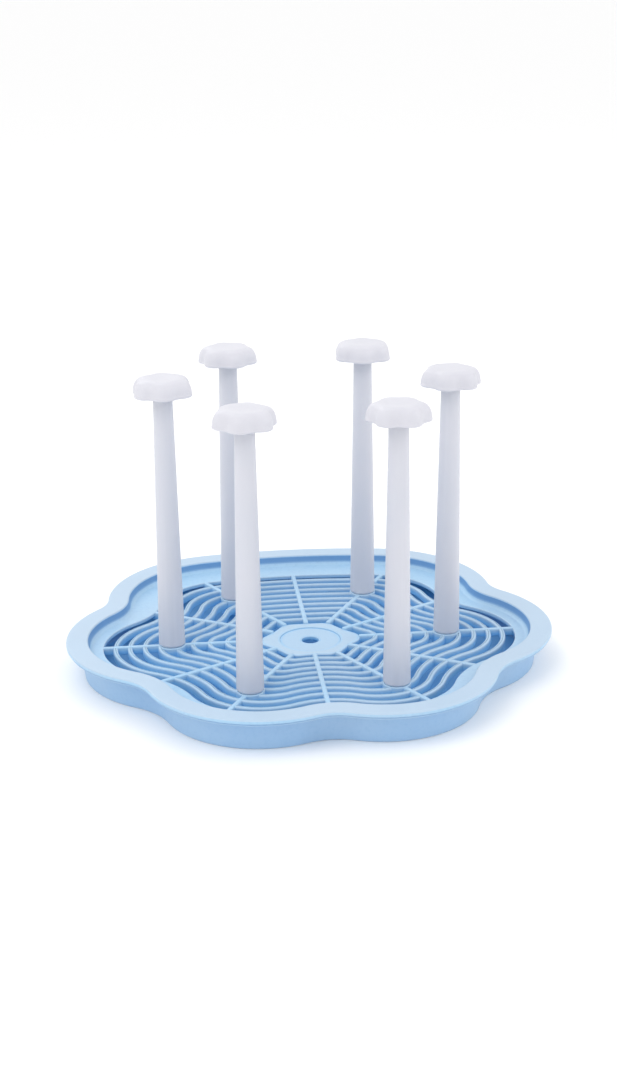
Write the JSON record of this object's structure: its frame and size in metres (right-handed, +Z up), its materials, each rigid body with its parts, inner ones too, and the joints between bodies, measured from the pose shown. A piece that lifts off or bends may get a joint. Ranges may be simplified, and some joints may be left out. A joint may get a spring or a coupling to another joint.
{
  "type": "bottle drying rack",
  "caption": "Lobed countertop rack for drying baby bottles: upright pegs with flower caps plug into a slotted drain grid that nests in a drip tray.",
  "frame": {"origin": "on the resting face of the drip tray, straight below the hole in the hub", "axes": "+Z up out of the tray, +X through peg 1, just beside the middle of the lobe there, +Y towards the long straight-backed side"},
  "size_m": [0.2998, 0.2732, 0.1842],
  "materials": {
    "tray_plastic": "satin moulded plastic, light blue",
    "grid_plastic": "satin moulded plastic, light blue",
    "peg_plastic": "frosted, slightly translucent moulded plastic",
    "cap_plastic": "satin white moulded plastic"
  },
  "bodies": {
    "drip_tray": {"drip_tray": "tray_plastic"},
    "drain_grid": {"drain_grid": "grid_plastic"},
    "peg_1": {"peg_1": "peg_plastic"},
    "cap_1": {"cap_1": "cap_plastic"},
    "peg_2": {"peg_2": "peg_plastic"},
    "cap_2": {"cap_2": "cap_plastic"},
    "peg_3": {"peg_3": "peg_plastic"},
    "cap_3": {"cap_3": "cap_plastic"},
    "peg_4": {"peg_4": "peg_plastic"},
    "cap_4": {"cap_4": "cap_plastic"},
    "peg_5": {"peg_5": "peg_plastic"},
    "cap_5": {"cap_5": "cap_plastic"},
    "peg_6": {"peg_6": "peg_plastic"},
    "cap_6": {"cap_6": "cap_plastic"}
  },
  "joints": [
    {"name": "grid_lift", "type": "slide", "parent": "drip_tray", "child": "drain_grid", "axis": [0, 0, 1], "range_m": [0, 0.04]},
    {"name": "peg_1_pull", "type": "slide", "parent": "drain_grid", "child": "peg_1", "axis": [0, 0, 1], "range_m": [0, 0.03]},
    {"name": "cap_1_turn", "type": "hinge", "parent": "peg_1", "child": "cap_1", "pos_m": [0.0855, 0, 0.174], "axis": [0, 0, 1], "continuous": true},
    {"name": "peg_2_pull", "type": "slide", "parent": "drain_grid", "child": "peg_2", "axis": [0, 0, 1], "range_m": [0, 0.03]},
    {"name": "cap_2_turn", "type": "hinge", "parent": "peg_2", "child": "cap_2", "pos_m": [0.04275, 0.07404, 0.174], "axis": [0, 0, 1], "continuous": true},
    {"name": "peg_3_pull", "type": "slide", "parent": "drain_grid", "child": "peg_3", "axis": [0, 0, 1], "range_m": [0, 0.03]},
    {"name": "cap_3_turn", "type": "hinge", "parent": "peg_3", "child": "cap_3", "pos_m": [-0.04275, 0.07404, 0.174], "axis": [0, 0, 1], "continuous": true},
    {"name": "peg_4_pull", "type": "slide", "parent": "drain_grid", "child": "peg_4", "axis": [0, 0, 1], "range_m": [0, 0.03]},
    {"name": "cap_4_turn", "type": "hinge", "parent": "peg_4", "child": "cap_4", "pos_m": [-0.0855, 0, 0.174], "axis": [0, 0, 1], "continuous": true},
    {"name": "peg_5_pull", "type": "slide", "parent": "drain_grid", "child": "peg_5", "axis": [0, 0, 1], "range_m": [0, 0.03]},
    {"name": "cap_5_turn", "type": "hinge", "parent": "peg_5", "child": "cap_5", "pos_m": [-0.04275, -0.07404, 0.174], "axis": [0, 0, 1], "continuous": true},
    {"name": "peg_6_pull", "type": "slide", "parent": "drain_grid", "child": "peg_6", "axis": [0, 0, 1], "range_m": [0, 0.03]},
    {"name": "cap_6_turn", "type": "hinge", "parent": "peg_6", "child": "cap_6", "pos_m": [0.04275, -0.07404, 0.174], "axis": [0, 0, 1], "continuous": true}
  ]
}
